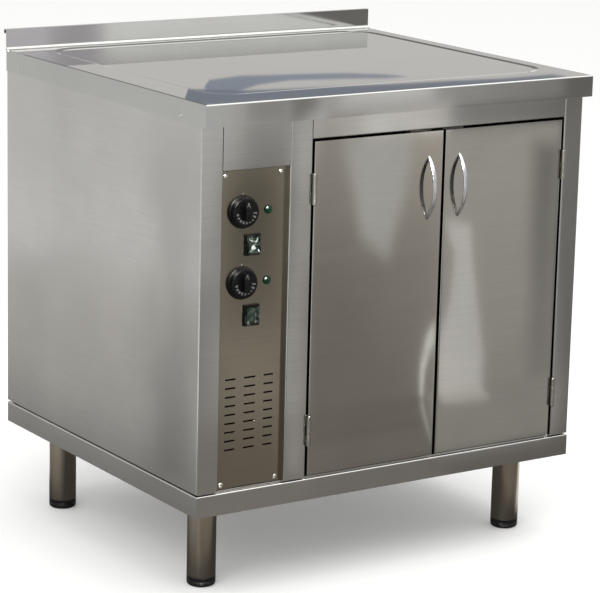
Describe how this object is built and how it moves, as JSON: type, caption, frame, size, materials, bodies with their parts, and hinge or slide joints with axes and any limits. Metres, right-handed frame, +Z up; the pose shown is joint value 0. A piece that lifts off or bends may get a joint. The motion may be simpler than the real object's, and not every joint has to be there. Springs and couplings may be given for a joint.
{
  "type": "plate warmer cabinet",
  "caption": "Stainless floor-standing cabinet with a heated worktop, a heated cupboard behind a pair of hinged doors, and a recessed control panel.",
  "frame": {"origin": "on the floor under the middle of the worktop", "axes": "+X to the right of someone facing the doors, +Y to the back, +Z up"},
  "size_m": [0.8024, 0.716, 0.887],
  "materials": {
    "panel_steel": "polished",
    "worktop_steel": "satin",
    "body_steel": "satin",
    "door_steel": "satin",
    "inner_steel": "mill",
    "fastener_steel": "polished",
    "hinge_steel": "satin",
    "leg_steel": "satin",
    "handle_chrome": "polished",
    "element_sheath": "oxidised",
    "insulation": "fibrous",
    "knob_plastic": "satin",
    "switch_plastic": "satin",
    "foot_plastic": "matte",
    "green_plastic": "gloss",
    "clear_cover": "clear",
    "device_plastic": "matte",
    "catch_plastic": "matte",
    "wire": "matte"
  },
  "bodies": {
    "cabinet": {"worktop": "worktop_steel", "base_tray": "body_steel", "side_panel_left": "body_steel", "side_panel_right": "body_steel", "back_panel": "body_steel", "middle_post": "body_steel", "top_rail": "body_steel", "panel_fascia": "body_steel", "control_panel": "panel_steel", "control_panel_screws": "fastener_steel", "apron_rivets": "fastener_steel", "chamber_liner": "inner_steel", "chamber_ceiling": "inner_steel", "chamber_insulation": "insulation", "heater_tray": "inner_steel", "top_insulation": "insulation", "top_element": "element_sheath", "chamber_element": "element_sheath", "lower_shelf": "inner_steel", "upper_shelf": "inner_steel", "shelf_rails": "inner_steel", "hinge_post_leaves_left": "hinge_steel", "hinge_post_leaves_right": "hinge_steel", "hinge_pins": "hinge_steel", "magnet_catches": "catch_plastic", "thermostat_upper": "device_plastic", "thermostat_lower": "device_plastic", "lamp_holders": "switch_plastic", "lamp_lenses": "green_plastic", "switch_body_upper": "switch_plastic", "switch_body_lower": "switch_plastic", "switch_covers": "clear_cover", "leg_front_left": "leg_steel", "leg_front_right": "leg_steel", "leg_back_left": "leg_steel", "leg_back_right": "leg_steel", "leg_plates": "body_steel", "cable_gland": "switch_plastic", "terminal_block": "device_plastic", "wiring_loom": "wire"},
    "door_left_body": {"door_left_skin": "door_steel", "door_left_liner": "inner_steel", "handle_left": "handle_chrome", "hinge_door_leaves_left": "hinge_steel", "strike_left": "inner_steel"},
    "door_right_body": {"door_right_skin": "door_steel", "door_right_liner": "inner_steel", "handle_right": "handle_chrome", "hinge_door_leaves_right": "hinge_steel", "strike_right": "inner_steel"},
    "knob_upper_body": {"knob_upper": "knob_plastic", "spindle_upper": "fastener_steel"},
    "knob_lower_body": {"knob_lower": "knob_plastic", "spindle_lower": "fastener_steel"},
    "rocker_upper_body": {"rocker_upper": "green_plastic"},
    "rocker_lower_body": {"rocker_lower": "green_plastic"},
    "foot_front_left_body": {"foot_front_left": "foot_plastic"},
    "foot_front_right_body": {"foot_front_right": "foot_plastic"},
    "foot_back_left_body": {"foot_back_left": "foot_plastic"},
    "foot_back_right_body": {"foot_back_right": "foot_plastic"}
  },
  "joints": [
    {"name": "door_left_hinge", "type": "hinge", "parent": "cabinet", "child": "door_left_body", "pos_m": [-0.18025, -0.3404, 0.483], "axis": [0, 0, -1], "range_deg": [0, 170]},
    {"name": "door_right_hinge", "type": "hinge", "parent": "cabinet", "child": "door_right_body", "pos_m": [0.34925, -0.3404, 0.483], "axis": [0, 0, 1], "range_deg": [0, 170]},
    {"name": "knob_upper_turn", "type": "hinge", "parent": "cabinet", "child": "knob_upper_body", "pos_m": [-0.3115, -0.3255, 0.6635], "axis": [0, 1, 0], "range_deg": [0, 270]},
    {"name": "knob_lower_turn", "type": "hinge", "parent": "cabinet", "child": "knob_lower_body", "pos_m": [-0.3115, -0.3255, 0.5435], "axis": [0, 1, 0], "range_deg": [0, 270]},
    {"name": "rocker_upper_tilt", "type": "hinge", "parent": "cabinet", "child": "rocker_upper_body", "pos_m": [-0.292, -0.3245, 0.607], "axis": [-1, 0, 0], "range_deg": [0, 20]},
    {"name": "rocker_lower_tilt", "type": "hinge", "parent": "cabinet", "child": "rocker_lower_body", "pos_m": [-0.292, -0.3245, 0.487], "axis": [-1, 0, 0], "range_deg": [0, 20]},
    {"name": "foot_front_left_screw", "type": "slide", "parent": "cabinet", "child": "foot_front_left_body", "axis": [0, 0, -1], "range_m": [0, 0.02]},
    {"name": "foot_back_left_screw", "type": "slide", "parent": "cabinet", "child": "foot_back_left_body", "axis": [0, 0, -1], "range_m": [0, 0.02]},
    {"name": "foot_front_right_screw", "type": "slide", "parent": "cabinet", "child": "foot_front_right_body", "axis": [0, 0, -1], "range_m": [0, 0.02]},
    {"name": "foot_back_right_screw", "type": "slide", "parent": "cabinet", "child": "foot_back_right_body", "axis": [0, 0, -1], "range_m": [0, 0.02]}
  ]
}
